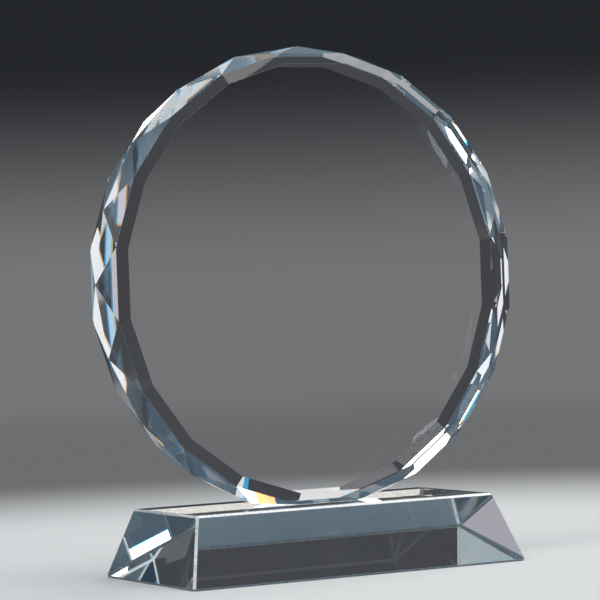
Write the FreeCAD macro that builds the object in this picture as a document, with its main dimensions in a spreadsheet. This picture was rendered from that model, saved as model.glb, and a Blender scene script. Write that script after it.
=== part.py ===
# Crystal award: a round plaque with a diamond-cut rim, bonded upright on a crystal block.
# Frame: millimetres, +Z up, origin at the centre of the block's underside, X along the
# block's long side, front of the plaque towards -Y.
import FreeCAD, Part
import os
import Sketcher

V = FreeCAD.Vector
doc = FreeCAD.newDocument("CrystalAward")

# ---------------------------------------------------------------- driving dimensions
SIZES = {
    "corners": 20,               # corners round the plaque's rim; one points straight up
    "corner_radius": 75.0,       # plaque's axis to the corners, which lie midway through it
    "rim_radius": 72.8,          # plaque's axis to the points of the front and back rim edges
    "rim_width": 19.0,           # front rim edge to back rim edge
    "bevel_depth": 1.5,          # each rim bevel, through the thickness
    "bevel_reach": 3.5,          # each rim bevel, along the face
    "block_height": 22.0,
    "block_top_long": 108.0,
    "block_top_deep": 45.0,
    "block_slope_long": 6.5,     # how far each end face slopes outwards
    "block_slope_deep": 9.0,     # how far the front and back faces slope outwards
    "block_edge": 0.7,           # polished chamfer on every edge of the block
    "film_thick": 0.15,
    "film_inset": 0.3,           # the film stops this far inside the foot's edges
    "overcut": 5.0,              # how far a cutting outline reaches past the glass
}

sheet = doc.addObject("Spreadsheet::Sheet", "Sizes")
for row, (alias, value) in enumerate(SIZES.items(), start=1):
    sheet.set(f"A{row}", alias)
    sheet.set(f"B{row}", str(value))
    sheet.setAlias(f"B{row}", alias)
doc.recompute()

# ---------------------------------------------------------------- sizes worked out from them
HALF_STEP = "180 deg / Sizes.corners"
GIRDLE_RADIUS = f"Sizes.corner_radius * cos({HALF_STEP})"   # axis to the line between corners
EDGE_RADIUS = f"Sizes.rim_radius * cos({HALF_STEP})"        # axis to a straight rim edge
FACE_RADIUS = f"({EDGE_RADIUS} - Sizes.bevel_reach)"        # axis to a straight face edge
OUTSIDE = "(Sizes.corner_radius + Sizes.overcut)"
HALF_RIM = "Sizes.rim_width / 2"
HALF_THICK = f"({HALF_RIM} + Sizes.bevel_depth)"
BEYOND = f"({HALF_THICK} + Sizes.overcut)"
FOOT_LONG = f"2 * Sizes.rim_radius * sin({HALF_STEP})"      # the foot is one rim edge long


# ---------------------------------------------------------------- helpers
def new_body(label, height=None):
    """An empty body, standing at a height given by a formula."""
    body = doc.addObject("PartDesign::Body", label)
    body.Label = label
    if height:
        body.setExpression("Placement.Base.z", height)
    return body


def origin_feature(body, role):
    return next(item for item in body.Origin.OriginFeatures if item.Role == role)


def attach(feature, body, plane, offset=None, turn=None):
    """Put a feature on a plane, raised by a formula or turned about the plane's own X."""
    feature.AttachmentSupport = (origin_feature(body, plane), [""])
    feature.MapMode = "FlatFace"
    if offset:
        feature.setExpression("AttachmentOffset.Base.z", offset)
    if turn:
        feature.AttachmentOffset = FreeCAD.Placement(V(), FreeCAD.Rotation(V(1, 0, 0), 1))
        feature.setExpression("AttachmentOffset.Rotation.Angle", turn)


def outline(body, name, plane, corners, turn=None):
    """A closed sketch of straight lines; each corner is a pair of formulas."""
    sketch = body.newObject("Sketcher::SketchObject", name)
    attach(sketch, body, plane, turn=turn)
    places = [V(*(float(sheet.evalExpression(formula)) for formula in corner), 0)
              for corner in corners]
    for start, end in zip(places, places[1:] + places[:1]):
        sketch.addGeometry(Part.LineSegment(start, end), False)
    for line, corner in enumerate(corners):
        before = (line - 1) % len(corners)
        sketch.addConstraint(Sketcher.Constraint("Coincident", before, 2, line, 1))
        for kind, formula in zip(("DistanceX", "DistanceY"), corner):
            value = float(sheet.evalExpression(formula))
            number = sketch.addConstraint(Sketcher.Constraint(kind, line, 1, value))
            sketch.setExpression(f"Constraints[{number}]", formula)
    return sketch


def cut_through(body, name, profile):
    """Cut a profile away on both sides of its plane, right through the body."""
    doc.recompute()
    volume = body.Tip.Shape.Volume
    pocket = body.newObject("PartDesign::Pocket", name)
    pocket.Profile = profile
    pocket.Type = "ThroughAll"
    pocket.Midplane = True
    doc.recompute()
    if pocket.Shape.Volume >= volume:
        raise RuntimeError(f"{name} cut nothing")
    return pocket


# ---------------------------------------------------------------- plaque
def facet_ring(body, name, profile):
    """Cut one facet pair through the rim and repeat it round the plaque's axis."""
    cut = cut_through(body, f"{name}Cut", profile)
    ring = body.newObject("PartDesign::PolarPattern", name)
    ring.Originals = [cut]
    ring.Axis = (origin_feature(body, "Y_Axis"), [""])
    ring.Angle = 360
    ring.setExpression("Occurrences", "Sizes.corners")
    body.Tip = ring


def make_plaque():
    """A 20-sided prism with triangular facets sloping from its middle to both faces."""
    body = new_body("crystal_disc", f"Sizes.block_height + Sizes.film_thick + {EDGE_RADIUS}")

    blank = body.newObject("PartDesign::AdditivePrism", "Blank")
    attach(blank, body, "XZ_Plane", f"-{HALF_THICK}")
    blank.setExpression("Polygon", "Sizes.corners")
    blank.setExpression("Circumradius", "Sizes.corner_radius")
    blank.setExpression("Height", f"2 * {HALF_THICK}")

    # Section through the top corner: face, bevel, rim edge, corner, and the same behind.
    corner_section = outline(body, "CornerSection", "YZ_Plane", [
        (f"-{HALF_THICK}", FACE_RADIUS),
        (f"-{HALF_RIM}", EDGE_RADIUS),
        ("0", "Sizes.corner_radius"),
        (HALF_RIM, EDGE_RADIUS),
        (HALF_THICK, FACE_RADIUS),
        (BEYOND, FACE_RADIUS),
        (BEYOND, OUTSIDE),
        (f"-{BEYOND}", OUTSIDE),
        (f"-{BEYOND}", FACE_RADIUS),
    ])
    facet_ring(body, "CornerFacets", corner_section)

    # Section half a step round, through a point of the rim edge and the line it faces.
    flat_section = outline(body, "FlatSection", "YZ_Plane", [
        (f"-{HALF_THICK}", "Sizes.rim_radius"),
        (f"-{HALF_RIM}", "Sizes.rim_radius"),
        ("0", GIRDLE_RADIUS),
        (HALF_RIM, "Sizes.rim_radius"),
        (HALF_THICK, "Sizes.rim_radius"),
        (HALF_THICK, OUTSIDE),
        (f"-{HALF_THICK}", OUTSIDE),
    ], turn=HALF_STEP)
    facet_ring(body, "FlatFacets", flat_section)

    below = outline(body, "BelowFoot", "XZ_Plane", [
        (f"-{OUTSIDE}", f"-{OUTSIDE}"),
        (OUTSIDE, f"-{OUTSIDE}"),
        (OUTSIDE, f"-{EDGE_RADIUS}"),
        (f"-{OUTSIDE}", f"-{EDGE_RADIUS}"),
    ])
    body.Tip = cut_through(body, "Foot", below)
    return body


# ---------------------------------------------------------------- block
def make_block():
    """A wedge with a rectangle at the underside and a smaller one on top."""
    body = new_body("crystal_base")
    block = body.newObject("PartDesign::AdditiveWedge", "Block")
    attach(block, body, "XZ_Plane")           # the wedge's own Y runs up
    block.setExpression("Ymax", "Sizes.block_height")
    for across, long, slope in (("X", "Sizes.block_top_long / 2", "Sizes.block_slope_long"),
                                ("Z", "Sizes.block_top_deep / 2", "Sizes.block_slope_deep")):
        block.setExpression(f"{across}2max", long)
        block.setExpression(f"{across}2min", f"-({long})")
        block.setExpression(f"{across}max", f"{long} + {slope}")
        block.setExpression(f"{across}min", f"-({long} + {slope})")
    doc.recompute()

    edges = body.newObject("PartDesign::Chamfer", "PolishedEdges")
    edges.Base = (block, [""])
    edges.UseAllEdges = True
    edges.setExpression("Size", "Sizes.block_edge")
    body.Tip = edges
    return body


# ---------------------------------------------------------------- adhesive
def make_film():
    """Cured clear adhesive between the block's top and the plaque's foot."""
    body = new_body("glue_film", "Sizes.block_height")
    half_long = f"({FOOT_LONG} / 2 - Sizes.film_inset)"
    half_deep = f"({HALF_RIM} - Sizes.film_inset)"
    foot = outline(body, "FootInset", "XY_Plane", [
        (f"-{half_long}", f"-{half_deep}"),
        (half_long, f"-{half_deep}"),
        (half_long, half_deep),
        (f"-{half_long}", half_deep),
    ])
    film = body.newObject("PartDesign::Pad", "Film")
    film.Profile = foot
    film.setExpression("Length", "Sizes.film_thick")
    body.Tip = film
    return body


# ---------------------------------------------------------------- build, check, write
bodies = [make_plaque(), make_block(), make_film()]
doc.recompute()

for item in doc.Objects:
    if "Invalid" in item.State or "Error" in item.State:
        raise RuntimeError(f"{item.Name} failed: {item.State}")
for body in bodies:
    if body.Shape.isNull() or not body.Shape.isValid():
        raise RuntimeError(f"{body.Label} has no valid shape")

os.makedirs("parts", exist_ok=True)
for body in bodies:
    body.Shape.exportStep(f"parts/{body.Label}.step")
    box = body.Shape.BoundBox
    print(f"{body.Label}: {box.XLength:.2f} x {box.YLength:.2f} x {box.ZLength:.2f} mm,"
          f" z {box.ZMin:.2f} to {box.ZMax:.2f}, {body.Shape.Volume / 1000:.1f} cm3,"
          f" {len(body.Shape.Faces)} faces")
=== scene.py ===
"""Looks for the crystal award: optical-crystal materials, a soft studio and the camera."""
import bmesh
import bpy
import math
from mathutils import Matrix, Vector


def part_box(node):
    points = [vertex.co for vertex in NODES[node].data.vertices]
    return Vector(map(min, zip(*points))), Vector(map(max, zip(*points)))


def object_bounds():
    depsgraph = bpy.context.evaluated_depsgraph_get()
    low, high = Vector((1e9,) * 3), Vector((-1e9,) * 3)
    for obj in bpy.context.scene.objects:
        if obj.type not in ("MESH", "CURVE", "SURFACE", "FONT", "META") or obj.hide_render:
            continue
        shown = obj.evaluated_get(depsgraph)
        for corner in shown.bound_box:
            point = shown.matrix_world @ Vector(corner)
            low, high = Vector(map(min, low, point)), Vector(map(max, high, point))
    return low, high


MM = 0.001

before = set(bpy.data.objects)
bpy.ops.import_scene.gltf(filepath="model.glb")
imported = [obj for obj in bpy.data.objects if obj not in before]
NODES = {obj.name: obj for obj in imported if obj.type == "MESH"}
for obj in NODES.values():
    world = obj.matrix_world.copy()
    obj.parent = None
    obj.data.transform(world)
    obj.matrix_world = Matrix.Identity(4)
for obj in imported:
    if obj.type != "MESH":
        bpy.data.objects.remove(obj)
CAD_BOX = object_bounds()
DISC_LOW, DISC_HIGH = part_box("crystal_disc")
DISC_RADIUS = (DISC_HIGH.x - DISC_LOW.x) / 2
DISC_CENTRE = Vector((0, 0, DISC_HIGH.z - DISC_RADIUS))
BLOCK_LOW, BLOCK_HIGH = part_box("crystal_base")
BLOCK_LEFT = Vector((BLOCK_LOW.x, 0, BLOCK_HIGH.z / 2))
BLOCK_RIGHT = Vector((BLOCK_HIGH.x, 0, BLOCK_HIGH.z / 2))


# ---------------------------------------------------------------- node helpers
def new_material(name):
    material = bpy.data.materials.new(name)
    material.use_nodes = True
    material.node_tree.nodes.clear()
    return material


class Tree:
    """Short names for building a node tree: add a node, set its inputs, link its outputs."""

    def __init__(self, node_tree):
        self.tree = node_tree

    def add(self, kind, inputs=None, **settings):
        node = self.tree.nodes.new("ShaderNode" + kind)
        for name, value in settings.items():
            setattr(node, name, value)
        for key, value in (inputs or {}).items():
            if isinstance(value, bpy.types.NodeSocket):
                self.tree.links.new(value, node.inputs[key])
            else:
                node.inputs[key].default_value = value
        return node

    def math(self, operation, a, b=0.0, clamp=False):
        return self.add("Math", {0: a, 1: b}, operation=operation, use_clamp=clamp).outputs[0]

    def ramp(self, factor, low, high, start=0.0, end=1.0):
        """A smooth change from start to end as factor goes from low to high."""
        node = self.add("MapRange", {"Value": factor, "From Min": low, "From Max": high,
                                     "To Min": start, "To Max": end},
                        interpolation_type="SMOOTHSTEP")
        return node.outputs["Result"]

    def noise(self, vector, scale, detail=2.0, roughness=0.5):
        node = self.add("TexNoise", {"Vector": vector, "Scale": scale, "Detail": detail,
                                     "Roughness": roughness})
        return node.outputs["Fac"]

    def mix_colour(self, factor, a, b):
        node = self.add("Mix", data_type="RGBA")
        for key, value in ((0, factor), (6, a), (7, b)):
            if isinstance(value, bpy.types.NodeSocket):
                self.tree.links.new(value, node.inputs[key])
            else:
                node.inputs[key].default_value = value
        return node.outputs[2]

    def sum_shaders(self, shaders):
        total = shaders[0]
        for shader in shaders[1:]:
            total = self.add("AddShader", {0: total, 1: shader}).outputs[0]
        return total


# ---------------------------------------------------------------- crystal
INDEX = 1.517                 # refractive index of optical crystal for yellow light
WARM_BAND = (1.0, 0.58, 0.18, 1)
COOL_BAND = (0.0, 0.42, 0.82, 1)   # with the warm band it sums to white
PLAQUE_SPREAD = 0.0045        # how far either band's index lies from yellow's
BASE_SPREAD = 0.0005
PLAQUE_TINT = (0.78, 0.90, 0.97, 1)
BASE_TINT = (0.78, 0.93, 0.93, 1)
TINT_DENSITY = 1.6            # per metre of crystal
SQUARE_ON = 0.995             # cosine within which a face counts as flat, not cut
DEEPEST = 10                  # bounces inside the glass before a path ends in a painted glow
# painted light: the colour the glass glows with where a path ends
PAINTED_INNER_LIGHT = (0.10, 0.15, 0.20, 1)
WAVE_SCALE = 45.0             # waves of hand polishing per metre
WAVE_HEIGHT = 0.05 * MM
GRAIN_SCALE = 900.0           # grains of the ground edges per metre
GRAIN_LOW = 0.3
GRAIN_HIGH = 0.7
GROUND_WHITE = (0.95, 0.95, 0.95, 1)
FROST_SHARE = 0.7             # of the ground edges' look; the rest is a sheen
HAIRLINE = 0.10 * MM          # width of the ground line along the plaque's edges
SIDE_LEAN = 0.33              # upward part of the normal of the block's sides, about
LEAN_MARGIN = 0.12            # the sides' own normals lie within this of it
LEVEL = 0.99                  # upward part beyond which a face is the top or underside
ONE_WAY = 0.05                # a side faces along X or Y, so the product of both is less


def hairlines(t, geometry, path):
    """Where the camera sees the plaque's edges."""
    rounded = t.add("Bevel", {"Radius": HAIRLINE}, samples=4)
    turned = t.add("VectorMath", {0: geometry.outputs["True Normal"], 1: rounded.outputs[0]},
                   operation="DOT_PRODUCT")
    return t.math("MULTIPLY", t.ramp(turned.outputs["Value"], 0.999, 0.97),
                  path.outputs["Is Camera Ray"])


def chamfers(t, geometry, path):
    """The block's edge chamfers: every face but its top, underside and four sides."""
    x, y, z = t.add("SeparateXYZ", {0: geometry.outputs["True Normal"]}).outputs
    level = t.math("GREATER_THAN", t.math("ABSOLUTE", z), LEVEL)
    outward = t.ramp(geometry.outputs["Backfacing"], 0.0, 1.0, 1.0, -1.0)
    lean = t.math("SUBTRACT", t.math("MULTIPLY", z, outward), SIDE_LEAN)
    leaning = t.math("LESS_THAN", t.math("ABSOLUTE", lean), LEAN_MARGIN)
    square = t.math("LESS_THAN", t.math("ABSOLUTE", t.math("MULTIPLY", x, y)), ONE_WAY)
    side = t.math("MULTIPLY", leaning, square)
    return t.math("SUBTRACT", 1.0, t.math("MAXIMUM", level, side))


def crystal(name, tint, flat_axis, spread, edges):
    """Clear crystal. Faces square to flat_axis pass light unsplit; cut facets split it into a
    warm and a cool band, whose indices lie spread either side of yellow's."""
    material = new_material(name)
    t = Tree(material.node_tree)
    geometry = t.add("NewGeometry")
    normal = geometry.outputs["True Normal"]
    place = t.add("TexCoord").outputs["Object"]
    path = t.add("LightPath")

    # Hand polishing leaves each facet very slightly uneven.
    waves = t.noise(place, WAVE_SCALE, 1.0)
    bump = t.add("Bump", {"Strength": 0.04, "Distance": WAVE_HEIGHT, "Height": waves})

    plain = t.add("BsdfGlass", {"Color": (1, 1, 1, 1), "Roughness": 0.0, "IOR": INDEX,
                                "Normal": bump.outputs[0]})
    bands = [t.add("BsdfGlass", {"Color": colour, "Roughness": 0.0, "IOR": index}).outputs[0]
             for colour, index in ((WARM_BAND, INDEX - spread), (COOL_BAND, INDEX + spread))]
    along = t.add("VectorMath", {0: normal, 1: flat_axis}, operation="DOT_PRODUCT")
    is_cut = t.math("LESS_THAN", t.math("ABSOLUTE", along.outputs["Value"]), SQUARE_ON)
    face = t.add("MixShader", {0: is_cut, 1: plain.outputs[0], 2: t.sum_shaders(bands)})

    # Inside, light meets plain polished walls until it has lost its way; then the glass glows
    # with painted light in place of the light that path would bring out.
    inner = t.add("BsdfGlass", {"Color": (1, 1, 1, 1), "Roughness": 0.0, "IOR": INDEX})
    lost = t.math("GREATER_THAN", path.outputs["Ray Depth"], DEEPEST)
    glow = t.add("Emission", {"Color": PAINTED_INNER_LIGHT})
    inside = t.add("MixShader", {0: lost, 1: inner.outputs[0], 2: glow.outputs[0]})
    polished = t.add("MixShader", {0: path.outputs["Is Camera Ray"], 1: inside.outputs[0],
                                   2: face.outputs[0]})

    # The edges are ground, not polished: white, worn unevenly, and catching the lights.
    grain = t.noise(place, GRAIN_SCALE)
    roughness = t.ramp(grain, GRAIN_LOW, GRAIN_HIGH, 0.25, 0.5)
    sheen = t.add("BsdfGlossy", {"Color": (1, 1, 1, 1), "Roughness": roughness})
    frost = t.add("BsdfDiffuse", {"Color": GROUND_WHITE})
    outer = t.add("MixShader", {0: FROST_SHARE, 1: sheen.outputs[0], 2: frost.outputs[0]})
    lit_through = t.add("BsdfTranslucent", {"Color": GROUND_WHITE})
    ground = t.add("MixShader", {0: geometry.outputs["Backfacing"], 1: outer.outputs[0],
                                 2: lit_through.outputs[0]})
    wear = t.ramp(grain, GRAIN_LOW, GRAIN_HIGH, 0.75, 1.0)
    worn = t.math("MULTIPLY", edges(t, geometry, path), wear)
    surface = t.add("MixShader", {0: worn, 1: polished.outputs[0], 2: ground.outputs[0]})
    absorb = t.add("VolumeAbsorption", {"Color": tint, "Density": TINT_DENSITY})
    t.add("OutputMaterial", {"Surface": surface.outputs[0], "Volume": absorb.outputs[0]})
    return material


ADHESIVE_INDEX = 1.50
ADHESIVE_TINT = (0.99, 0.99, 0.97, 1)
BUBBLE_SCALE = 900.0          # trapped bubbles per metre


def adhesive():
    """Cured adhesive: clear, with faint trapped bubbles."""
    material = new_material("clear_adhesive")
    t = Tree(material.node_tree)
    place = t.add("TexCoord").outputs["Object"]
    cells = t.add("TexVoronoi", {"Vector": place, "Scale": BUBBLE_SCALE})
    bubbles = t.ramp(cells.outputs["Distance"], 0.10, 0.16, 0.25, 0.0)
    glass = t.add("BsdfGlass", {"Color": ADHESIVE_TINT, "Roughness": bubbles,
                                "IOR": ADHESIVE_INDEX})
    t.add("OutputMaterial", {"Surface": glass.outputs[0]})
    return material


WELD_REACH = 0.002 * MM
FLAT_ANGLE = math.radians(0.2)


def finish_node(name, material):
    """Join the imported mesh's split corners, merge its flat faces and dress it."""
    node = NODES[name]
    node.data.materials.clear()
    node.data.materials.append(material)
    weld = node.modifiers.new("weld", "WELD")
    weld.merge_threshold = WELD_REACH
    flat = node.modifiers.new("flat_faces", "DECIMATE")
    flat.decimate_type = "DISSOLVE"
    flat.angle_limit = FLAT_ANGLE
    for polygon in node.data.polygons:
        polygon.use_smooth = False


finish_node("crystal_disc",
            crystal("plaque_crystal", PLAQUE_TINT, (0, 1, 0), PLAQUE_SPREAD, hairlines))
finish_node("crystal_base",
            crystal("base_crystal", BASE_TINT, (0, 0, 1), BASE_SPREAD, chamfers))
finish_node("glue_film", adhesive())


# ---------------------------------------------------------------- studio
CAMERA_AZIMUTH = math.radians(-29.2)      # from straight in front, towards +X
AHEAD = (-math.sin(CAMERA_AZIMUTH), math.cos(CAMERA_AZIMUTH), 0)   # the way the camera looks

# Places and sizes are in metres; a pair is where one look begins to give way to the next and
# where it has.
SWEEP_RADIUS = 1.6                        # from the award to the studio's wall
SWEEP_BEND = 0.10                         # radius of the bend between floor and wall
SWEEP_HEIGHT = 1.1
BEND_STEPS = 12
ROUND_STEPS = 180
FLOOR = (0.80, 0.80, 0.79, 1)
FAR_FLOOR_SHADE = (0.15, 0.154, 0.16, 1)        # painted shade: floor outside the pool of light round the award, glowing, not lit
POOL_FADE = (0.20, 0.50)
FAR_FADE = (0.9, SWEEP_RADIUS)
# The wall glows: its colours are painted studio light and shade.
WALL_LOW = (0.18, 0.182, 0.187, 1)        # wall near the floor
LOW_FADE = (0.10, 0.30)
WALL_MIDDLE = (0.018, 0.020, 0.024, 1)    # higher up, behind the award
SIDE_MIDDLE = (0.055, 0.070, 0.085, 1)    # and towards the camera's side, a little lighter
SIDE_FADE = (-0.6, 0.97)                  # cosine with the way the camera looks
SKY = (0.08, 0.115, 0.15, 1)              # wall above the camera's view, and the air over it
SKY_FADE = (0.45, 0.75)

# Seen by way of a facet the studio is painted darker, painted shade, but for a pale ring of
# floor round the award that keeps the floor's lit colour, and a pale patch of floor behind it
# and a white disc on the wall, both painted light, so that bright facets stand beside dark ones.
STRAIGHT = -0.9995                        # cosine between a ray and the view of where it ends
# painted shade: the floor and the wall as seen by way of a facet
PAINTED_FLOOR_SHADE_IN_FACETS = (0.22, 0.29, 0.34, 1)
PAINTED_WALL_SHADE_IN_FACETS = (0.055, 0.055, 0.060, 1)
SOFT_EDGE = 0.02                          # width of the ring's and the patch's soft edges
RING_INNER = 0.17
RING_OUTER = 0.25
RING_LEFT = -0.20                         # the ring is cut off on the left
# painted light: a pale patch of the far floor behind the award, seen only by way of a facet
PAINTED_LIGHT_PATCH = (0.45, 0.45, 0.46, 1)
PATCH_NEAR = 0.31
PATCH_FAR = 0.46
PATCH_END = 0.30                          # how far it reaches to the right
# painted light: a white disc on the wall, seen only by way of a facet
PAINTED_LIGHT_DISC = (0.80, 0.80, 0.80, 1)
PAINTED_DISC_RADIUS = 0.055
PAINTED_DISC_AZIMUTH = math.radians(150)
PAINTED_DISC_PLACE = (SWEEP_RADIUS * math.sin(PAINTED_DISC_AZIMUTH), -SWEEP_RADIUS * math.cos(PAINTED_DISC_AZIMUTH),
              0.285)


def make_world():
    world = bpy.data.worlds.new("studio_air")
    bpy.context.scene.world = world
    world.use_nodes = True
    world.node_tree.nodes.clear()
    t = Tree(world.node_tree)
    background = t.add("Background", {"Color": SKY, "Strength": 1.0})
    t.add("OutputWorld", {"Surface": background.outputs[0]})


def sweep_material():
    """Pale matt floor that turns, with distance, into darker floor and a wall, both glowing with
    painted light and shade rather than lit.
    """
    material = new_material("studio_sweep")
    t = Tree(material.node_tree)
    geometry = t.add("NewGeometry")
    place = geometry.outputs["Position"]
    along, behind, height = t.add("SeparateXYZ", {0: place}).outputs
    level = t.add("VectorMath", {0: place, 1: (1, 1, 0)}, operation="MULTIPLY").outputs[0]
    reach = t.add("VectorMath", {0: level}, operation="LENGTH").outputs["Value"]
    outward = t.add("VectorMath", {0: level}, operation="NORMALIZE").outputs[0]
    ahead = t.add("VectorMath", {0: outward, 1: AHEAD}, operation="DOT_PRODUCT").outputs["Value"]

    # A line of sight is bent when it doesn't come straight from the camera or ends behind it.
    coming = t.add("VectorTransform", {0: geometry.outputs["Incoming"]}, vector_type="VECTOR",
                   convert_from="WORLD", convert_to="CAMERA").outputs[0]
    sight = t.add("CameraData").outputs["View Vector"]
    against = t.add("VectorMath", {0: coming, 1: sight}, operation="DOT_PRODUCT")
    forward = t.add("SeparateXYZ", {0: sight}).outputs["Z"]
    bent = t.math("MAXIMUM", t.math("GREATER_THAN", against.outputs["Value"], STRAIGHT),
                  t.math("LESS_THAN", forward, 0.0))

    # Painted studio light on the glowing wall: pale near the floor, dark higher up behind the
    # award, a little lighter towards the camera's side.
    middle = t.mix_colour(t.ramp(ahead, *SIDE_FADE), SIDE_MIDDLE, WALL_MIDDLE)
    lower = t.mix_colour(t.ramp(height, *LOW_FADE), WALL_LOW, middle)
    # Painted light: seen by way of a facet the low wall is painted dark but for a white disc.
    from_painted_disc = t.add("VectorMath", {0: place, 1: PAINTED_DISC_PLACE}, operation="DISTANCE")
    card = t.math("LESS_THAN", from_painted_disc.outputs["Value"], PAINTED_DISC_RADIUS)
    seen_low = t.mix_colour(bent, lower, t.mix_colour(card, PAINTED_WALL_SHADE_IN_FACETS, PAINTED_LIGHT_DISC))
    wall = t.mix_colour(t.ramp(height, *SKY_FADE), seen_low, SKY)

    # Painted light: a pale patch of far floor, seen by way of a facet; elsewhere the far floor
    # seen so is painted dark.
    across = t.math("MULTIPLY", t.ramp(behind, PATCH_NEAR - SOFT_EDGE, PATCH_NEAR),
                    t.ramp(behind, PATCH_FAR + SOFT_EDGE, PATCH_FAR))
    patch = t.math("MULTIPLY", across, t.ramp(along, PATCH_END, PATCH_END - SOFT_EDGE))
    seen_far = t.mix_colour(patch, PAINTED_WALL_SHADE_IN_FACETS, PAINTED_LIGHT_PATCH)
    floor_far = t.mix_colour(bent, FAR_FLOOR_SHADE, seen_far)
    # Far from the award the floor and the wall glow with painted light and shade in place of lit
    # colour.
    away = t.mix_colour(t.ramp(reach, *FAR_FADE), floor_far, wall)
    far = t.add("Emission", {"Color": away})

    # Painted shade: seen by way of a facet the near floor is darker, but for the ring round the
    # award.
    outside_ring = t.math("MAXIMUM", t.ramp(reach, RING_INNER, RING_INNER - SOFT_EDGE),
                          t.ramp(reach, RING_OUTER, RING_OUTER + SOFT_EDGE))
    off_ring = t.math("MAXIMUM", outside_ring, t.ramp(along, RING_LEFT + SOFT_EDGE, RING_LEFT))
    paint = t.mix_colour(t.math("MULTIPLY", bent, off_ring), FLOOR, PAINTED_FLOOR_SHADE_IN_FACETS)
    floor = t.add("BsdfDiffuse", {"Color": paint})
    surface = t.add("MixShader", {0: t.ramp(reach, *POOL_FADE), 1: floor.outputs[0],
                                  2: far.outputs[0]})
    t.add("OutputMaterial", {"Surface": surface.outputs[0]})
    return material


def make_sweep():
    """A round studio: flat floor, a quarter-circle bend and an upright wall."""
    shape = bmesh.new()
    profile = [(0.0, 0.0)]
    for step in range(BEND_STEPS + 1):
        angle = math.radians(90) * step / BEND_STEPS
        profile.append((SWEEP_RADIUS - SWEEP_BEND + SWEEP_BEND * math.sin(angle),
                        SWEEP_BEND * (1 - math.cos(angle))))
    profile.append((SWEEP_RADIUS, SWEEP_HEIGHT))
    points = [shape.verts.new((reach, 0, height)) for reach, height in profile]
    for start, end in zip(points, points[1:]):
        shape.edges.new((start, end))
    bmesh.ops.spin(shape, geom=shape.verts[:] + shape.edges[:], axis=(0, 0, 1), cent=(0, 0, 0),
                   steps=ROUND_STEPS, angle=math.radians(360), use_merge=True)
    bmesh.ops.remove_doubles(shape, verts=shape.verts[:], dist=0.1 * MM)
    mesh = bpy.data.meshes.new("studio_sweep")
    shape.to_mesh(mesh)
    shape.free()
    mesh.materials.append(sweep_material())
    for polygon in mesh.polygons:
        polygon.use_smooth = True
    sweep = bpy.data.objects.new("studio_sweep", mesh)
    sweep.location.z = CAD_BOX[0].z - 0.05 * MM
    bpy.context.scene.collection.objects.link(sweep)


def softbox(name, azimuth, elevation, distance, wide, tall, glow, colour=(1, 1, 1),
            facing=DISC_CENTRE, roll=0.0):
    """A soft rectangular light; glow is how bright its surface looks, angles are in degrees."""
    data = bpy.data.lights.new(name, "AREA")
    data.shape = "RECTANGLE"
    data.size = wide
    data.size_y = tall
    data.energy = glow * 4 * wide * tall
    data.color = colour
    around = math.radians(azimuth)
    up = math.radians(elevation)
    away = Vector((math.sin(around) * math.cos(up), -math.cos(around) * math.cos(up),
                   math.sin(up)))
    light = bpy.data.objects.new(name, data)
    light.location = facing + away * distance
    turn = Matrix.Rotation(math.radians(roll), 3, "Z")
    light.rotation_euler = (away.to_track_quat("Z", "Y").to_matrix() @ turn).to_euler()
    light.visible_camera = False
    bpy.context.scene.collection.objects.link(light)
    return light


make_world()
make_sweep()
# name, azimuth, elevation, distance, width, height, glow and, where not white, colour
softbox("overhead", 40, 74, 1.15, 1.1, 1.1, 2.2)
softbox("key_left", -74, 54, 1.1, 0.46, 0.46, 2.5)
softbox("edge_light", 108, 51, 1.1, 0.42, 0.42, 2.5, (1.0, 0.95, 0.88))
softbox("back_light", 168, 19, 1.2, 0.22, 0.17, 2.0)
softbox("strip_back_right", 128, 0.2, 0.60, 0.085, 0.245, 0.85)
softbox("pale_back_right", 121.9, -4.8, 0.60, 0.042, 0.20, 0.42, (0.99, 0.94, 1.0))
softbox("strip_back_left", -123.5, 12, 1.20, 0.27, 1.10, 0.75, (0.95, 0.95, 1.0))
softbox("cool_strip_right", 64, -1, 0.80, 0.17, 0.22, 0.6, (0.55, 0.82, 1.0))
softbox("slim_bar", 59.4, 39.4, 1.1, 0.008, 0.045, 2.5, facing=BLOCK_LEFT, roll=26.7)
softbox("grey_card", -162.3, 20.1, 1.2, 0.3, 0.3, 0.27, (0.95, 0.87, 0.94), facing=BLOCK_RIGHT)


# ---------------------------------------------------------------- camera
CAMERA_ELEVATION = math.radians(-0.3)
CAMERA_ROLL = math.radians(-2.1)
CAMERA_DISTANCE = 0.90
CAMERA_LENS = 167.0           # millimetres
CAMERA_SENSOR = 36.0          # width of its frame, millimetres
FRAME_LEFT = 2.2 * MM         # the frame's centre lies this far left of the plaque's axis
FRAME_BELOW = 7.0 * MM        # and this far below it


def make_camera():
    data = bpy.data.cameras.new("camera")
    data.lens = CAMERA_LENS
    data.sensor_width = CAMERA_SENSOR
    data.clip_start = 0.01
    data.clip_end = 50
    camera = bpy.data.objects.new("camera", data)
    bpy.context.scene.collection.objects.link(camera)
    level = math.cos(CAMERA_ELEVATION)
    back = Vector((math.sin(CAMERA_AZIMUTH) * level, -math.cos(CAMERA_AZIMUTH) * level,
                   math.sin(CAMERA_ELEVATION)))
    right = Vector((math.cos(CAMERA_AZIMUTH), math.sin(CAMERA_AZIMUTH), 0))
    camera.location = DISC_CENTRE + back * CAMERA_DISTANCE
    target = DISC_CENTRE - right * FRAME_LEFT - Vector((0, 0, FRAME_BELOW))
    look = (camera.location - target).to_track_quat("Z", "Y").to_matrix().to_4x4()
    turn = Matrix.Rotation(CAMERA_ROLL, 4, "Z")
    camera.matrix_world = Matrix.Translation(camera.location) @ look @ turn
    bpy.context.scene.camera = camera


make_camera()
bpy.context.scene.view_settings.view_transform = "Standard"

# Light runs back and forth inside the plaque many times before it leaves through the rim.
BOUNCES = 24
paths = bpy.context.scene.cycles
paths.max_bounces = BOUNCES
paths.glossy_bounces = BOUNCES
paths.transmission_bounces = BOUNCES
